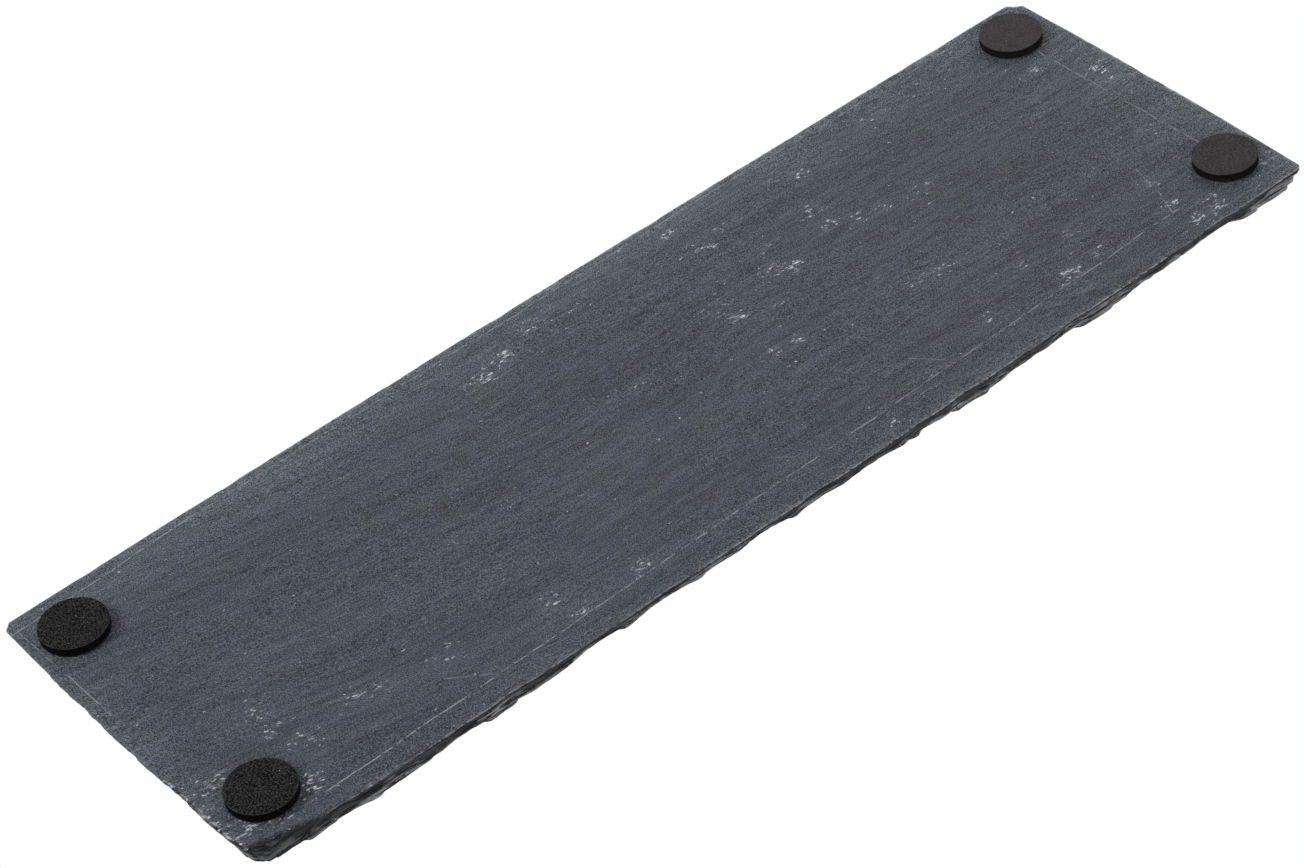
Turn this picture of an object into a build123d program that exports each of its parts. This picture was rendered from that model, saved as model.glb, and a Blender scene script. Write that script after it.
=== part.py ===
"""Long slate serving board: one hand-dressed slab on four stick-on foam feet, serving face up."""

import math
import os

from build123d import *

# Slab, in millimetres: X along the board, Y across it, Z up from the surface that the feet stand on
board_length = 300.0
board_width = 100.0
slab_thickness = 5.0
side_bow = 0.9  # fall of the long sides from their middle to the corners
end_bow = 0.6  # fall of the short ends from their middle to the corners
front_left_nip = (1.5, 1.5)  # knocked-off corners: reach along the edges before and after it, anticlockwise
front_right_nip = (3.0, 3.0)
back_right_nip = (0.6, 0.6)
back_left_nip = (1.5, 8.0)

# Flake scars: one blow of the dressing knife each, starting at the foot side and opening to the serving face
scar_pitch = 16.0
scar_radius = 38.0
scar_radius_spread = 0.45  # share of the radius by which scars differ
scar_lean_spread = 6.0  # degrees
scar_nick_spread = 1.5  # share of the nick by which scars differ
scar_skew = 12.0  # largest sideways lean, degrees
scar_drift = 0.30  # largest shift along the edge, as a share of the pitch
front_nick = 0.1  # bite into the foot-side outline
right_nick = 0.08
back_nick = 0.2
left_nick = 0.08
front_lean = (26.0, 30.0, 24.0)  # degrees from upright, at even steps from corner to corner
right_lean = (27.0, 29.0, 30.0)
back_lean = (9.0, 24.0, 14.0, 30.0, 33.0, 7.0, 17.0)
left_lean = (16.0, 28.0, 33.0, 32.0, 30.0)
ridge_lean = 0.75  # lean of the ridges left between the scars, as a share of the lean of the scars
corner_scar_radius = 8.0
corner_scar_lean = 26.0  # degrees from upright
corner_scar_nick = 0.2  # bite into the knocked-off corner

# Cleavage steps: thin flakes lifted off the serving face beside the edge, with a flat floor
step_pitch = 17.0
step_radius = 12.0
step_reach = 4.2  # from the outline to the step's inner wall
step_depth = 1.3
step_radius_spread = 0.45  # share of the radius by which steps differ
step_reach_spread = 1.4
step_depth_spread = 0.8
step_drift = 0.35  # largest shift along the edge, as a share of the pitch

# Corner damage: a scooped spall under the back left corner, upper layers lost from the back right one
spall_radius = 30.0
spall_run = 24.0  # along the back side
spall_across = 6.5  # along the left end
spall_depth = 3.0  # at the corner
lost_layer_radius = 8.0
lost_layer_run = 3.2  # along the back side
lost_layer_across = 6.0  # along the right end
lost_layer_depth = 3.7

# Feet: foam pads on double-sided film, pressed on by eye
pad_diameter = 15.5
pad_thickness = 2.4
pad_rim = 0.3  # bevel that wear leaves round the standing face
film_thickness = 0.2
film_margin = 0.25  # film smaller than the pad all round
front_left_end_inset = 11.4  # from the end of the board to the middle of the foot
front_left_side_inset = 14.2  # from the long side to the middle of the foot
front_right_end_inset = 12.0
front_right_side_inset = 12.1
back_left_end_inset = 12.8
back_left_side_inset = 15.3
back_right_end_inset = 11.1
back_right_side_inset = 15.3
feet = {  # corner signs along X and Y, then the two insets
    "front_left": (-1, -1, front_left_end_inset, front_left_side_inset),
    "front_right": (1, -1, front_right_end_inset, front_right_side_inset),
    "back_left": (-1, 1, back_left_end_inset, back_left_side_inset),
    "back_right": (1, 1, back_right_end_inset, back_right_side_inset),
}

foot_height = pad_thickness + film_thickness
half_length = board_length / 2
half_width = board_width / 2
CUTTER_OVERRUN = 1.1  # cutters run past the stone by this factor
GOLDEN_STEP = 0.6180
PLASTIC_STEP = 0.7549
SILVER_STEP = 0.4142


def uneven(index, step):
    """A value from -1 to 1 that differs from one blow to the next."""
    return 2 * (index * step % 1) - 1


def ridge_inset(height, lean):
    """Distance that the ridges of an edge of that lean run in, from the foot side to a height above it."""
    return height * math.tan(math.radians(ridge_lean * lean))


def corner(x_sign, y_sign, x_lean, y_lean, height):
    """A corner of the outline at a height above the foot side, before it is knocked off."""
    x = half_length - end_bow - ridge_inset(height, x_lean)
    y = half_width - side_bow - ridge_inset(height, y_lean)
    return Vector(x_sign * x, y_sign * y)


# The four edges: turn about Z, run along the edge, distance from the centre, fall to the corners, nick, leans
board_edges = [
    (0, board_length, half_width, side_bow, front_nick, front_lean),
    (90, board_width, half_length, end_bow, right_nick, right_lean),
    (180, board_length, half_width, side_bow, back_nick, back_lean),
    (270, board_width, half_length, end_bow, left_nick, left_lean),
]
# The corner at the start of each edge: turn of the blow that nipped it, nip, then signs and leans in X and Y
board_corners = [
    (315, front_left_nip, (-1, -1, left_lean[-1], front_lean[0])),
    (45, front_right_nip, (1, -1, right_lean[0], front_lean[-1])),
    (135, back_right_nip, (1, 1, right_lean[-1], back_lean[0])),
    (225, back_left_nip, (-1, 1, left_lean[0], back_lean[-1])),
]


def along_edge(run, pitch, drift, first):
    """Number and place along an edge of each blow, unevenly spaced."""
    count = round(run / pitch)
    spacing = run / count
    for blow in range(count):
        index = first + blow
        shift = drift * uneven(index, GOLDEN_STEP)
        yield index, (blow + 0.5 + shift) * spacing - run / 2


def edge_line(along, run, distance, fall):
    """Distance of the outline from the board's centre line at a place along an edge."""
    return distance - fall * (2 * along / run) ** 2


def edge_lean(along, run, leans):
    """Lean of the broken edge at a place along it, between the two nearest leans given."""
    place = (along / run + 0.5) * (len(leans) - 1)
    before = min(max(int(place), 0), len(leans) - 2)
    return leans[before] + (leans[before + 1] - leans[before]) * (place - before)


def edge_points(edge, height):
    """Points of one side of the outline between its corners, at a height above the foot side."""
    turn, run, distance, fall, _, leans = edge
    for place in range(1, len(leans) - 1):
        along = run * (place / (len(leans) - 1) - 0.5)
        out = edge_line(along, run, distance, fall) - ridge_inset(height, leans[place])
        yield Vector(along, -out).rotate(Axis.Z, turn)


def arc_centre(start, finish, radius):
    """Centre of the arc of that radius from start to finish, on the right of the line between them."""
    chord = Vector(finish) - Vector(start)
    sagitta_leg = math.sqrt(radius**2 - (chord.length / 2) ** 2)
    return Vector(start) + chord / 2 + Vector(chord.Y, -chord.X).normalized() * sagitta_leg


def flake_scar(frame, along, start_out, radius, lean, skew):
    """Seat, radius and length of a leaning round cutter whose wall meets the foot side at start_out."""
    tilt = math.radians(lean)
    axis_out = start_out + radius / math.cos(tilt)
    reach = (slab_thickness + radius * abs(math.sin(tilt))) / math.cos(tilt)
    seat = frame * Location((along, -axis_out, 0), (-lean, skew, 0))
    return seat, radius, 2 * CUTTER_OVERRUN * reach


scars = []
steps = []
for turn, run, distance, fall, edge_nick, leans in board_edges:
    edge_frame = Location((0, 0, foot_height), (0, 0, turn))
    for index, along in along_edge(run, scar_pitch, scar_drift, turn):
        radius = scar_radius * (1 + scar_radius_spread * uneven(index, PLASTIC_STEP))
        lean = edge_lean(along, run, leans) + scar_lean_spread * uneven(index, SILVER_STEP)
        nick = edge_nick * (1 + scar_nick_spread * uneven(index, GOLDEN_STEP))
        skew = scar_skew * uneven(index, PLASTIC_STEP * SILVER_STEP)
        start_out = edge_line(along, run, distance, fall) - nick
        scars.append(flake_scar(edge_frame, along, start_out, radius, lean, skew))
    for index, along in along_edge(run, step_pitch, step_drift, turn):
        radius = step_radius * (1 + step_radius_spread * uneven(index, SILVER_STEP))
        reach = step_reach + step_reach_spread * uneven(index, PLASTIC_STEP)
        depth = step_depth + step_depth_spread * uneven(index, GOLDEN_STEP)
        axis_out = edge_line(along, run, distance, fall) - reach + radius
        seat = edge_frame * Location((along, -axis_out, slab_thickness))
        steps.append((seat, radius, 2 * depth))

for turn, (nip_before, nip_after), values in board_corners:
    corner_frame = Location(corner(*values, 0)) * Location((0, 0, foot_height), (0, 0, turn))
    nip_depth = math.sqrt(2) * nip_before * nip_after / (nip_before + nip_after)
    start_out = -nip_depth - corner_scar_nick
    scars.append(flake_scar(corner_frame, 0, start_out, corner_scar_radius, corner_scar_lean, 0))

lost_layer_axis = arc_centre(
    (half_length, half_width - lost_layer_across),
    (half_length - lost_layer_run, half_width),
    lost_layer_radius,
)
lost_layer_axis.Z = foot_height + slab_thickness
steps.append((Location(lost_layer_axis), lost_layer_radius, 2 * lost_layer_depth))

spall_turn = math.atan2(spall_across, spall_run)
spall_length = 2 * CUTTER_OVERRUN * math.hypot(spall_run, spall_across)
spall_axis = arc_centre((0, 0), (spall_run * math.sin(spall_turn), spall_depth), spall_radius)
spall_frame = Plane(
    origin=(-half_length, half_width - spall_across, foot_height),
    x_dir=(math.cos(spall_turn), math.sin(spall_turn), 0),
)

with BuildPart() as slate_slab:
    for height in (0, slab_thickness):
        with BuildSketch(Plane.XY.offset(foot_height + height)):
            with BuildLine() as outline:
                for number, edge in enumerate(board_edges):
                    along = Vector(1, 0).rotate(Axis.Z, edge[0])
                    _, (_, start_nip), start_values = board_corners[number]
                    _, (finish_nip, _), finish_values = board_corners[(number + 1) % len(board_corners)]
                    start = corner(*start_values, height) + along * start_nip
                    finish = corner(*finish_values, height) - along * finish_nip
                    if number:
                        Line(outline.line @ 1, start)
                    Spline(start, *edge_points(edge, height), finish)
                Line(outline.line @ 1, outline.line @ 0)
            make_face()
    loft(ruled=True)
    for cutters in (scars, steps):
        flakes = []
        for seat, radius, length in cutters:
            with Locations(seat):
                flakes.append(Cylinder(radius, length, mode=Mode.PRIVATE))
        add(flakes, mode=Mode.SUBTRACT)
    with Locations(spall_frame.location * Location((0, spall_axis.X, spall_axis.Y))):
        Cylinder(spall_radius, spall_length, rotation=(0, 90, 0), mode=Mode.SUBTRACT)
slate_slab.part.label = "slate_slab"

os.makedirs("parts", exist_ok=True)
export_step(slate_slab.part, "parts/slate_slab.step")

for place, (x_sign, y_sign, end_inset, side_inset) in feet.items():
    seat = (x_sign * (half_length - end_inset), y_sign * (half_width - side_inset))
    with BuildPart() as foot_pad:
        with BuildSketch():
            with Locations(seat):
                Circle(pad_diameter / 2)
        extrude(amount=pad_thickness)
        chamfer(foot_pad.edges().group_by(Axis.Z)[0], length=pad_rim)
    foot_pad.part.label = f"foot_pad_{place}"
    export_step(foot_pad.part, f"parts/foot_pad_{place}.step")

    with BuildPart() as adhesive:
        with BuildSketch(Plane.XY.offset(pad_thickness)):
            with Locations(seat):
                Circle(pad_diameter / 2 - film_margin)
        extrude(amount=film_thickness)
    adhesive.part.label = f"adhesive_{place}"
    export_step(adhesive.part, f"parts/adhesive_{place}.step")
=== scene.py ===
"""Looks of the slate serving board: riven slab, four punched foam feet and the film that holds them."""

import math

import bpy
import numpy as np
from mathutils import Matrix, Vector
from mathutils.bvhtree import BVHTree
from mathutils.geometry import delaunay_2d_cdt


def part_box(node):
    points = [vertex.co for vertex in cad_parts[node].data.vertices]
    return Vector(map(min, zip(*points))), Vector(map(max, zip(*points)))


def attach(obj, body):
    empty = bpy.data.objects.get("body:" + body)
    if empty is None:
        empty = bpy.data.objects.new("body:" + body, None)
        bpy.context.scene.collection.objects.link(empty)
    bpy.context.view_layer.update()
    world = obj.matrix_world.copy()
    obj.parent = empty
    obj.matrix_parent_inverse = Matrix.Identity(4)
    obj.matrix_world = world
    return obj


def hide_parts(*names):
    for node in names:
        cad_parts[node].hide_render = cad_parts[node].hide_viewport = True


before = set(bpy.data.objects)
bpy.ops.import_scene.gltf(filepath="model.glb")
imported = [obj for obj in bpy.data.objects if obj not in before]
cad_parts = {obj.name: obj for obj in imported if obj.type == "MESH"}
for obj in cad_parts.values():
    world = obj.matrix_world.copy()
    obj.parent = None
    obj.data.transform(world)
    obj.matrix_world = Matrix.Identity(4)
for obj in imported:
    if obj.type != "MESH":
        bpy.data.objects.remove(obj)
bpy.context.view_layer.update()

MM = 0.001
FEET = ("front_left", "front_right", "back_left", "back_right")

# Slab mesh, in metres
COLUMN_PITCH = 0.5 * MM  # along the outline
BAND = 8.0 * MM  # width of the strip inside the outline that follows the broken edge
BAND_SAMPLES = 44  # places across the strip where the edge is felt
LAMINAE = 8  # layers that the broken edge splits into
LAMINA_ROWS = (0.03, 0.5, 0.97)  # rows of the mesh up each layer, as shares of its thickness
FOOT_ROWS = 9  # rows of the mesh across the strip on the foot side
SERVING_ROWS = 6  # rows of the mesh across the strip on the serving side
ROW_CROWDING = 1.7  # rows of the strips lie closer together towards the edge
FACE_PITCH = 1.5 * MM  # mesh of the broad faces
FEEL_STEPS = 16  # halvings that find the outline
OUTSIDE = 2.0 * MM  # start of each search, outside the board
SEAT_CLEAR = 2.0 * MM  # flat stone kept round each foot
ARRIS = 0.05 * MM  # worn width of the edge of the serving face
LEDGE_PASSES = 2  # smoothing of the felt ledges along the outline
WELD = 0.001 * MM  # points of a broad face closer than this are one
INSIDE_ONLY = 1  # the fill of a broad face keeps the triangles inside its loop
FACING = 0.5  # a column belongs to the side that its inward direction faces by this share
LOOSE_REACH = 2.5 * MM  # how far the raggedness of the edge runs into the broad faces
# Raggedness of the foot-side outline on each side, as a share of the broken edge's own
FOOT_LOOSE = {"front": 0.35, "right": 0.15, "back": 0.30, "left": 1.4}
SPALL_RISE = 0.2 * MM  # rise of the foot side at which it counts as broken
TORN_FROM = 14.0 * MM  # Y where the torn stretch of the left end starts, towards the back left corner
TORN_EASE = 8.0 * MM  # run over which the tearing grows
TORN_WIDTH = 0.5 * MM  # width of the torn strip
LEFT_END = 1.8 * MM  # the outline counts as the left end this close to it
TORN_LOOSE = 1.0  # raggedness that the tearing adds
RIM_WIDTH = 0.3 * MM  # pale line along the foot-side outline: bruised stone, and a painted highlight where the arris catches light
MARGINS_AND_SHEEN = {  # the foot side pales towards its edges, partly by a greener tint of the stone and partly by painted sheen: by what share, and over what distance
    "front": (0.65, 9.0 * MM), "right": (0.50, 12.0 * MM), "back": (0.16, 4.0 * MM), "left": (0.42, 4.0 * MM),
}

# Riven relief, in metres
LAMINA_WAVER = 0.42 * MM  # each layer wavers in and out along the edge
LAMINA_SWAY = 0.16 * MM  # the bounds between the layers rise and fall
SPLINTER_WAVER = 0.20 * MM  # finer raggedness of each layer
UNDERCUT = 0.25 * MM  # the layers just above the first stand in
FACE_RELIEF = 0.16 * MM  # riven swell of the broad faces
RELIEF_SEED = 3.0
LEAF_STEP = 7.3  # from the noise of one layer to that of the next

# The grain runs along the board, and bends towards the left end, in millimetres
GRAIN_STRAIGHT_FROM = 30.0  # X where the bend ends
GRAIN_BEND = 0.00044  # shift across the board, times the square of the distance from there
GRAIN_SWAY = 14.0  # slow sway across the board
GRAIN_TURN = -2.0  # degrees

# Stretches of X over which the look of the stone changes, in millimetres
SLATE_GREYS = (-110.0, 90.0)  # the stone turns from blue to grey
RIM_GROWS = (-40.0, 60.0)  # the pale outline grows stronger
RIM_STARTS = (-149.0, -144.0)  # the pale outline comes up from the left end, where it is faint

# Pale scratches scribed on the foot side: start and finish in millimetres along X and Y, then strength
SCRIBED_LINES = (
    ((-136.0, 44.0), (-60.0, 42.5), 0.80),
    ((-60.0, 42.5), (30.0, 40.8), 0.70),
    ((30.0, 40.8), (122.0, 38.7), 0.60),
    ((-150.0, -45.0), (-100.0, -47.3), 0.70),
    ((-100.0, -47.3), (60.0, -48.3), 0.50),
    ((60.0, -48.0), (134.0, -46.9), 0.50),
    ((-147.6, -45.0), (-147.0, -8.0), 0.55),
    ((139.4, -31.0), (140.0, 25.0), 0.45),
    ((-90.6, 35.6), (-82.5, 41.9), 0.35),
    ((0.5, 33.4), (6.4, 39.3), 0.35),
    ((43.4, 31.6), (48.6, 38.2), 0.35),
    ((142.5, 41.0), (149.8, 41.9), 0.80),
    ((123.5, 21.0), (121.0, 31.5), 0.40),
    ((121.0, 31.5), (118.0, 38.5), 0.50),
    ((118.0, 38.5), (122.5, 38.9), 0.50),
    ((140.0, -13.8), (144.5, -15.9), 0.70),
    ((144.5, -15.9), (148.2, -15.4), 0.70),
    ((140.5, -9.6), (144.4, -7.9), 0.40),
    ((-145.9, 24.0), (-141.5, 25.7), 0.60),
    ((-144.3, 23.5), (-138.6, 22.6), 0.40),
)
SCRIBE_WIDTH = 0.16  # millimetres
SCRIBE_WANDER = 1.2  # millimetres

# Bruised places on the foot side where the stone flakes pale: X and Y in millimetres, reach, strength
BRUISES = (
    (-60, 34, 3.0, 1.0), (-58, 41, 2.4, 1.0), (-41, 39, 4.0, 0.8), (-125, 14, 5.0, 0.5),
    (-142, 24, 5.0, 0.8), (-122, 28, 4.5, 0.7), (-108, 26, 5.0, 0.6), (-86, 29, 4.5, 0.6),
    (-128, 41, 4.0, 0.8), (-145, 40, 4.0, 1.0), (-27, -36, 4.5, 1.0), (-19, -38, 4.5, 1.0),
    (-8, -42, 4.5, 0.6), (3, -40, 4.0, 0.5), (34, -44, 2.6, 1.0), (36, -34, 4.5, 0.7),
    (43, -36, 3.5, 0.7), (47, -12, 3.5, 1.0), (42, -15, 3.5, 0.7), (24, -14, 5.0, 0.6),
    (27, -8, 3.2, 1.0), (33, -5, 3.0, 0.7), (-4, -7, 3.5, 0.4), (24, 7, 2.6, 1.0),
    (31, 8, 2.6, 1.0), (31, -20, 3.5, 0.5), (45, -21, 4.0, 0.6), (63, -25, 3.0, 1.0),
    (62, -18, 3.0, 1.0), (68, -15, 3.0, 0.9), (75, -13, 3.0, 0.7), (86, -11, 3.5, 0.6),
    (70, -37, 3.5, 0.6), (95, -41, 3.5, 0.7), (63, 13, 3.5, 0.8), (68, 14, 3.0, 0.7),
    (134, -25, 2.8, 1.0), (145, -14, 3.4, 1.0), (122, 27, 3.0, 0.8), (120, 36, 3.0, 0.8),
    (120, 45, 3.4, 1.0), (88, 37, 4.5, 0.8), (82, 27, 3.0, 0.6), (98, 26, 3.0, 0.6),
    (64, 35, 4.0, 0.5), (127, 41, 3.0, 0.7), (146, 41, 3.0, 0.7), (26, 46, 3.0, 0.8),
    (-125, 21, 3.0, 0.8), (-101, 27, 3.5, 0.7), (-138, 43, 4.5, 1.0), (-149, 30, 4.0, 0.6),
    (-149, 37, 4.0, 0.7), (-148, 44, 3.5, 0.7), (143, -9, 2.0, 0.7), (126, 45, 3.0, 0.9),
    (97, 36, 2.5, 0.7), (-127, 38, 3.5, 0.9),
)
BRUISE_STRETCH = 1.5  # a bruise reaches this many times further along the board than across it

# Foam feet, in metres
FOOT_RIM = 0.3 * MM  # radius of the soft rims
FOOT_WAIST = 0.12 * MM  # the wall draws in half way up
FOOT_WOBBLE = 0.18 * MM  # unevenness of the punched wall
CELL_DEPTH = 0.06 * MM  # cells cut open in the surface
PAD_SPOKES = 180  # points of the mesh round a pad
PAD_WALL_ROWS = 14  # rows of the mesh up its wall
PAD_FACE_RINGS = 30  # rings of the mesh on its faces
AXIS_GUARD = 0.1 * MM  # keeps a division off zero in the middle of a pad
FOOT_SPREAD = {  # how much wider each foot shows in the photograph than its solid is
    "front_left": 0.9 * MM, "front_right": 0.3 * MM, "back_left": 0.9 * MM, "back_right": 0.3 * MM,
}
FOOT_SEED = 31.0
FOOT_SEED_STEP = 7.0  # from one foot to the next
FOOT_PALER_SHARE = {"front_left": 0.0, "front_right": 1.0, "back_left": 0.0, "back_right": 0.78}  # share of paler, browner foam on each foot

# Depth of the fine relief that the finishes give, in metres
SLATE_BUMP = 0.16 * MM
FOAM_BUMP = 0.10 * MM
FILM_BUMP = 0.03 * MM

# Colours of the slate: red, green, blue and alpha
SLATE_BLUE = (0.0637, 0.0705, 0.0918, 1.0)
SLATE_GREY = (0.0640, 0.0710, 0.0875, 1.0)
SLATE_STAIN = (0.0615, 0.0712, 0.0741, 1.0)
SLATE_MARGIN = (0.0653, 0.0741, 0.0819, 1.0)
FLECK_PALE = (0.60, 0.63, 0.68, 1.0)
SCRATCH_PALE = (0.34, 0.36, 0.38, 1.0)
EDGE_DARK = (0.004, 0.004, 0.005, 1.0)
EDGE_GREY = (0.250, 0.260, 0.282, 1.0)
# painted highlight for the arrises of the broken edge
EDGE_HIGHLIGHT = (0.52, 0.53, 0.55, 1.0)
# pale line of the outline: bruised stone with a painted highlight
RIM_BRUISE_AND_HIGHLIGHT = (0.52, 0.54, 0.56, 1.0)
CHIP_PALE = (0.40, 0.42, 0.44, 1.0)
# painted shade for the notches of the torn left end
NOTCH_SHADE = (0.006, 0.006, 0.007, 1.0)

# Colours of the foam feet and of the film under them
FOAM_PIT = (0.001, 0.001, 0.001, 1.0)
FOAM_SKIN = (0.041, 0.039, 0.040, 1.0)
# paler, browner foam on some feet
PALER_PIT = (0.036, 0.031, 0.033, 1.0)
PALER_SKIN = (0.074, 0.067, 0.070, 1.0)
FOAM_RUBBED = (0.024, 0.022, 0.023, 1.0)
# painted highlight for the rounded rims of the feet
FOAM_RIM_HIGHLIGHT = (0.080, 0.076, 0.078, 1.0)
DUST_GREY = (0.42, 0.41, 0.40, 1.0)
FILM_SMOKE = (0.045, 0.045, 0.042, 1.0)
FILM_CLEAR = (0.090, 0.088, 0.080, 1.0)
FILM_DIRT = (0.030, 0.030, 0.032, 1.0)

# Studio, with its distances in metres
WHITE = (1.0, 1.0, 1.0, 1.0)
FLOOR_PALE = (0.88, 0.88, 0.88, 1.0)
EVEN_LIGHT = 0.25  # light from all round, as a share of plain light
FLOOR_REACH = 6.0
FLOOR_FADE = (0.25, 0.90)  # distance from the middle over which the floor fades to white
FLOOR_SHADE_REACH = 12.0 * MM  # painted shade: the floor's colour darkens where something stands this close above it

# Camera under the turned-over board, as the photograph shows it
CAMERA_PLACE = Vector((-0.37139, 0.58979, -0.59945))
CAMERA_RIGHT = Vector((0.7727, 0.6197, 0.1377))
CAMERA_UP = Vector((0.4976, -0.4565, -0.7377))
CAMERA_LENS = 113.28  # millimetres
CAMERA_SENSOR = 36.0  # millimetres
CAMERA_NEAR = 0.01  # closest thing that it shows


class Desk:
    """Short calls that add and wire the nodes of one tree."""

    def __init__(self, tree):
        self.tree = tree

    def feed(self, socket, value):
        """Links another node's output to a socket, or sets the socket's own value."""
        if isinstance(value, bpy.types.NodeSocket):
            self.tree.links.new(value, socket)
        else:
            socket.default_value = value

    def add(self, kind, inputs=None, **settings):
        """A node of that kind with its settings, and its inputs fed by name or number."""
        node = self.tree.nodes.new(kind)
        for name, value in settings.items():
            setattr(node, name, value)
        for key, value in (inputs or {}).items():
            self.feed(node.inputs[key], value)
        return node

    def math(self, operation, first, second=0.0):
        """One operation on numbers."""
        return self.add("ShaderNodeMath", {0: first, 1: second}, operation=operation).outputs[0]

    def product(self, first, *others):
        """All the values multiplied."""
        for other in others:
            first = self.math("MULTIPLY", first, other)
        return first

    def added(self, first, *others):
        """All the values added."""
        for other in others:
            first = self.math("ADD", first, other)
        return first

    def fused(self, value, factor, shift):
        """The value times the factor, plus the shift."""
        inputs = {0: value, 1: factor, 2: shift}
        return self.add("ShaderNodeMath", inputs, operation="MULTIPLY_ADD").outputs[0]

    def vector(self, operation, first, second):
        """One operation on vectors."""
        return self.add("ShaderNodeVectorMath", {0: first, 1: second}, operation=operation).outputs[0]

    def scaled(self, vector, factor):
        """A vector or a colour times a number."""
        node = self.add("ShaderNodeVectorMath", {0: vector, "Scale": factor}, operation="SCALE")
        return node.outputs[0]

    def length(self, vector):
        """Length of a vector."""
        return self.add("ShaderNodeVectorMath", {0: vector}, operation="LENGTH").outputs["Value"]

    def parts(self, vector):
        """X, Y and Z of a vector."""
        return self.add("ShaderNodeSeparateXYZ", {0: vector}).outputs

    def joined(self, x, y, z):
        """A vector of X, Y and Z."""
        return self.add("ShaderNodeCombineXYZ", {0: x, 1: y, 2: z}).outputs[0]

    def noise(self, vector, scale=1.0, detail=2.0, roughness=0.5, seed=0.0):
        """Smooth noise from 0 to 1 about 0.5."""
        inputs = {"Vector": vector, "W": seed, "Scale": scale, "Detail": detail, "Roughness": roughness}
        return self.add("ShaderNodeTexNoise", inputs, noise_dimensions="4D").outputs[0]

    def stretched(self, vector, stretch, **settings):
        """Noise with its own scale along each axis."""
        return self.noise(self.vector("MULTIPLY", vector, stretch), **settings)

    def off_middle(self, noise):
        """Distance of a noise from its middle, which is small along thin winding lines."""
        return self.math("ABSOLUTE", self.math("SUBTRACT", noise, 0.5))

    def cells(self, vector, scale):
        """Distance from the nearest of scattered points."""
        return self.add("ShaderNodeTexVoronoi", {"Vector": vector, "Scale": scale}).outputs["Distance"]

    def total(self, *shares):
        """Sum of noises about zero, each with its weight."""
        return self.added(*(self.fused(noise, weight, -0.5 * weight) for noise, weight in shares))

    def ramp(self, value, low, high, start=0.0, finish=1.0):
        """Soft step from start, at low, to finish, at high."""
        inputs = {0: value, 1: low, 2: high, 3: start, 4: finish}
        return self.add("ShaderNodeMapRange", inputs, interpolation_type="SMOOTHSTEP").outputs[0]

    def blend(self, factor, first, second):
        """Mix of two colours by factor."""
        inputs = {0: factor, 6: first, 7: second}
        return self.add("ShaderNodeMix", inputs, data_type="RGBA").outputs[2]

    def stored(self, name):
        """A number stored on the mesh, read in a material."""
        return self.add("ShaderNodeAttribute", attribute_name=name).outputs["Fac"]

    def bump(self, shader, height, strength, depth):
        """Gives a surface shader a relief of that depth."""
        inputs = {"Strength": strength, "Distance": depth, "Height": height}
        self.feed(shader.inputs["Normal"], self.add("ShaderNodeBump", inputs).outputs[0])


def new_material(name):
    """An empty node material: its desk, its surface shader and its millimetre coordinates."""
    material = bpy.data.materials.new(name)
    material.use_nodes = True
    desk = Desk(material.node_tree)
    shader = material.node_tree.nodes["Principled BSDF"]
    place = desk.scaled(desk.add("ShaderNodeTexCoord").outputs["Object"], 1 / MM)
    return material, desk, shader, place


def scribed_marks(desk, place):
    """Strength of the scribed scratches, each a thin broken straight line."""
    broken = desk.ramp(desk.noise(place, scale=0.33, detail=4.0, roughness=0.75, seed=9.0), 0.42, 0.58)
    wander = desk.noise(place, scale=0.09, detail=2.0, seed=19.0)
    wander = desk.fused(wander, SCRIBE_WANDER, -0.5 * SCRIBE_WANDER)
    x, y, _ = desk.parts(desk.vector("ADD", place, desk.joined(wander, wander, 0.0)))
    marks = 0.0
    for start, finish, strength in SCRIBED_LINES:
        run = Vector(finish) - Vector(start)
        along = run.normalized()
        aside = Vector((-along.y, along.x))
        reach = desk.added(desk.fused(x, along.x, -along.dot(start)), desk.product(y, along.y))
        off = desk.added(desk.fused(x, aside.x, -aside.dot(start)), desk.product(y, aside.y))
        near = desk.ramp(desk.math("ABSOLUTE", off), SCRIBE_WIDTH * 0.4, SCRIBE_WIDTH * 1.6, strength, 0.0)
        started = desk.math("GREATER_THAN", reach, 0.0)
        unfinished = desk.math("LESS_THAN", reach, run.length)
        marks = desk.math("MAXIMUM", desk.product(near, started, unfinished), marks)
    return desk.product(marks, broken)


def slate_face(desk, turned):
    """Colour of the riven faces and their tone about 1: streaks, grain and grit, paler towards the edges by a
    greener tint and by painted sheen.
    """
    streaks = desk.stretched(turned, (0.04, 0.6, 0.6), detail=3.0, roughness=0.6)
    grain = desk.stretched(turned, (0.22, 1.9, 1.9), detail=1.0, seed=2.0)
    grit = desk.stretched(turned, (3.4, 4.4, 4.4), detail=1.0, seed=3.0)
    mottle = desk.stretched(turned, (0.012, 0.04, 0.04), detail=4.0, seed=4.0)
    tone = desk.total((streaks, 1.3), (grain, 1.3), (grit, 6.2), (mottle, 0.5))
    tone = desk.math("MAXIMUM", desk.added(tone, 1.0), 0.3)
    patches = desk.stretched(turned, (0.09, 0.16, 0.16), detail=2.0, seed=5.0)
    greyer = desk.ramp(desk.parts(turned)[0], *SLATE_GREYS)
    face = desk.blend(greyer, SLATE_BLUE, SLATE_GREY)
    face = desk.blend(desk.ramp(patches, 0.50, 0.66, 0.0, 0.45), face, SLATE_STAIN)
    # paler margins: a greener tint of the stone, and painted sheen that brightens the face by up to 65
    # percent towards its edges, most along the front
    pale = desk.stored("margin")
    face = desk.blend(pale, face, SLATE_MARGIN)
    return desk.scaled(face, desk.product(tone, desk.added(pale, 1.0))), tone


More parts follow.
